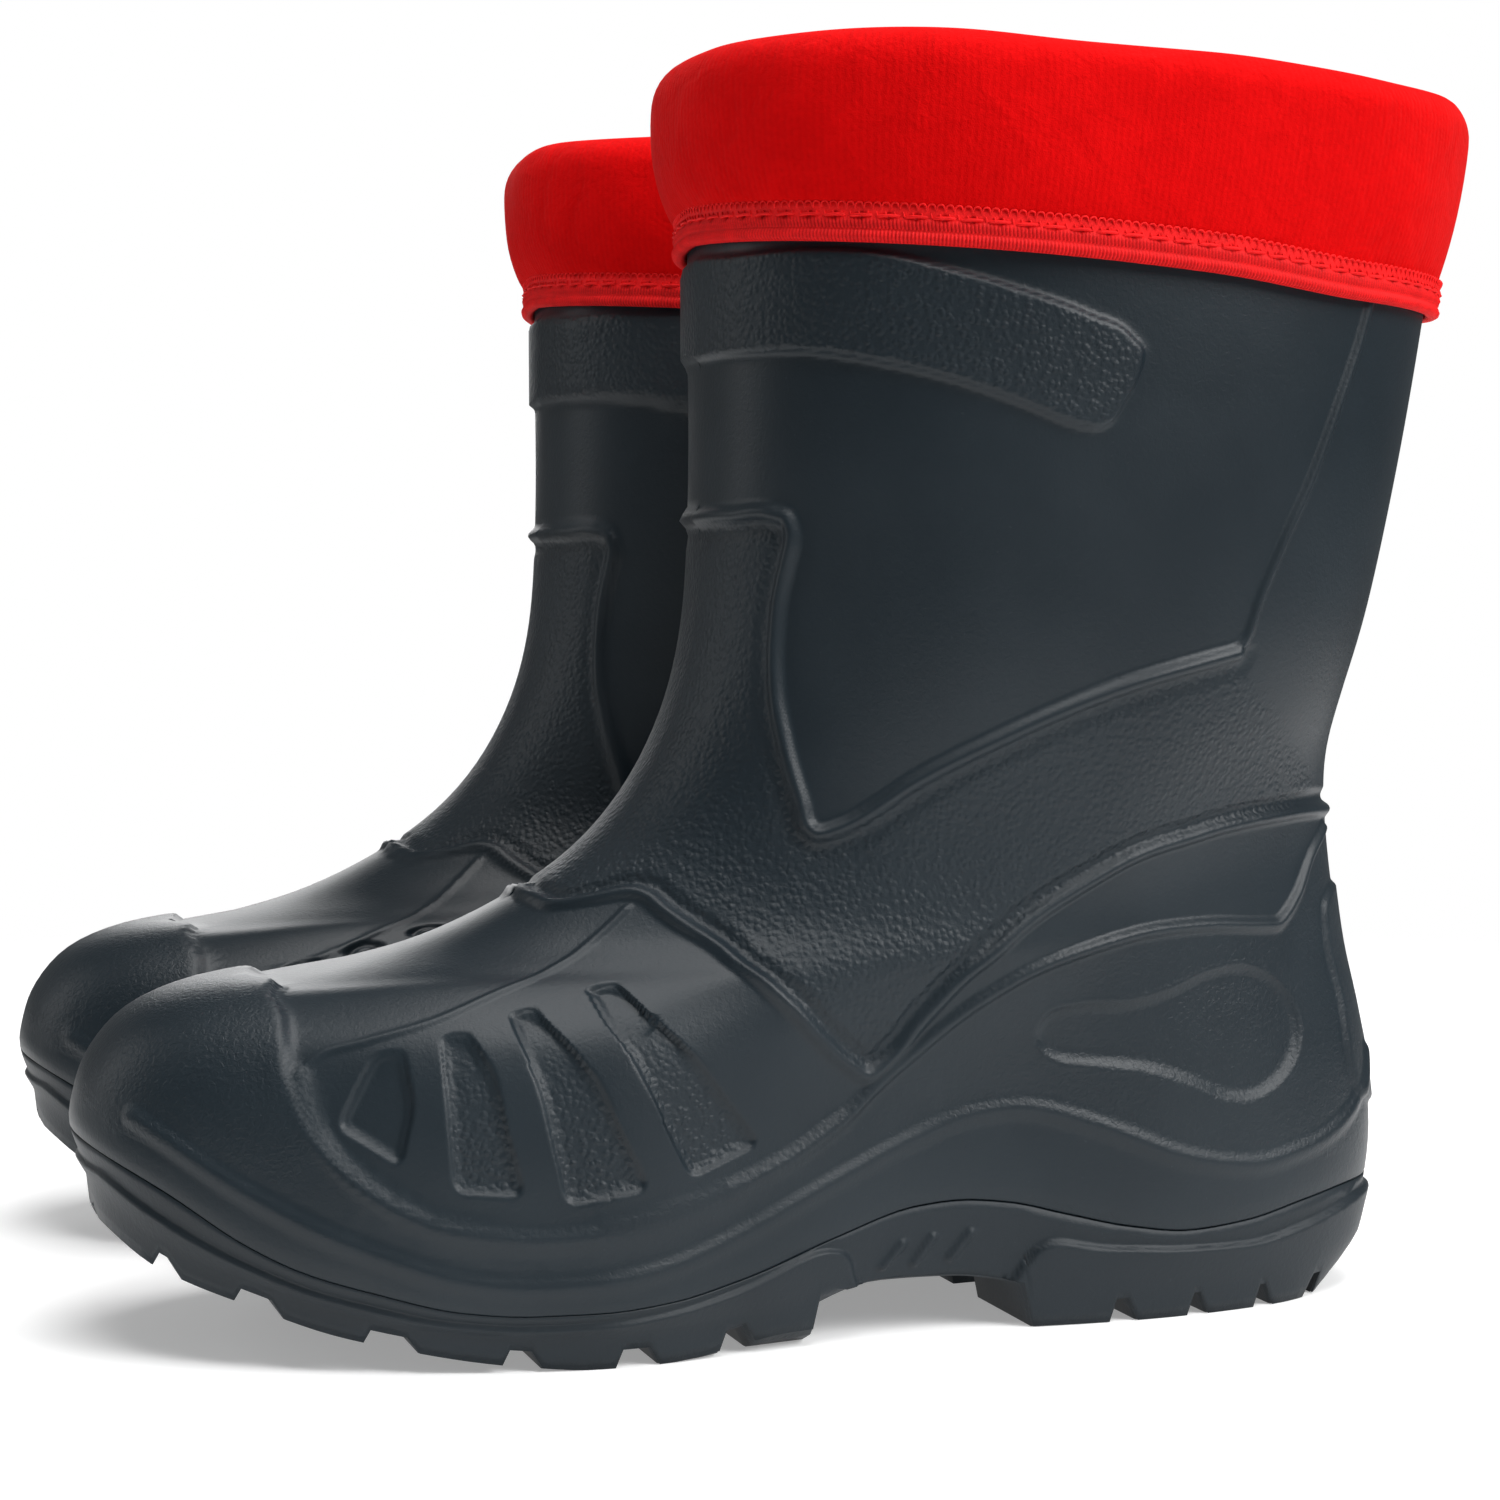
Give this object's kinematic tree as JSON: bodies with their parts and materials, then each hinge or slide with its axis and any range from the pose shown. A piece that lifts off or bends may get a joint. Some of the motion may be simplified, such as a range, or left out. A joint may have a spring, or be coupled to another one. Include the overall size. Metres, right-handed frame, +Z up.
{
  "type": "pair of child's lined rain boots",
  "caption": "Pair of moulded foam rain boots with lugged soles, ribbed shafts and removable fleece liners turned down over the rims.",
  "frame": {"origin": "on the floor, in the middle of the pair's box", "axes": "+Z up, toes towards -X, left boot on the -Y side and right boot on the +Y side"},
  "size_m": [0.2366, 0.2114, 0.204],
  "materials": {
    "foam": "closed-cell foam, satin skin, smooth in panels and pebbled in others",
    "sole": "closed-cell foam, satin, lugs a little duller",
    "felt": "dense felt",
    "fleece": "short velour fleece",
    "binding": "overlocked knit binding",
    "thread": "polyester sewing thread"
  },
  "bodies": {
    "left_boot": {"left_upper_shell": "foam", "left_outsole": "sole"},
    "left_liner": {"left_liner_sole": "felt", "left_liner_foot": "fleece", "left_liner_leg": "fleece", "left_liner_cuff": "fleece", "left_hem_binding": "binding", "left_hem_thread": "thread", "left_back_seam": "thread"},
    "right_boot": {"right_upper_shell": "foam", "right_outsole": "sole"},
    "right_liner": {"right_liner_sole": "felt", "right_liner_foot": "fleece", "right_liner_leg": "fleece", "right_liner_cuff": "fleece", "right_hem_binding": "binding", "right_hem_thread": "thread", "right_back_seam": "thread"}
  },
  "joints": [
    {"name": "left_liner_lift", "type": "slide", "parent": "left_boot", "child": "left_liner", "axis": [0, 0, 1], "range_m": [0, 0.21], "deforming": ["left_liner_foot", "left_liner_sole", "left_liner_cuff", "left_hem_binding", "left_hem_thread", "left_back_seam"]},
    {"name": "right_boot_apart", "type": "slide", "parent": "left_boot", "child": "right_boot", "axis": [0, 1, 0], "range_m": [0, 0.15]},
    {"name": "right_liner_lift", "type": "slide", "parent": "right_boot", "child": "right_liner", "axis": [0, 0, 1], "range_m": [0, 0.21], "deforming": ["right_liner_foot", "right_liner_sole", "right_liner_cuff", "right_hem_binding", "right_hem_thread", "right_back_seam"]}
  ]
}
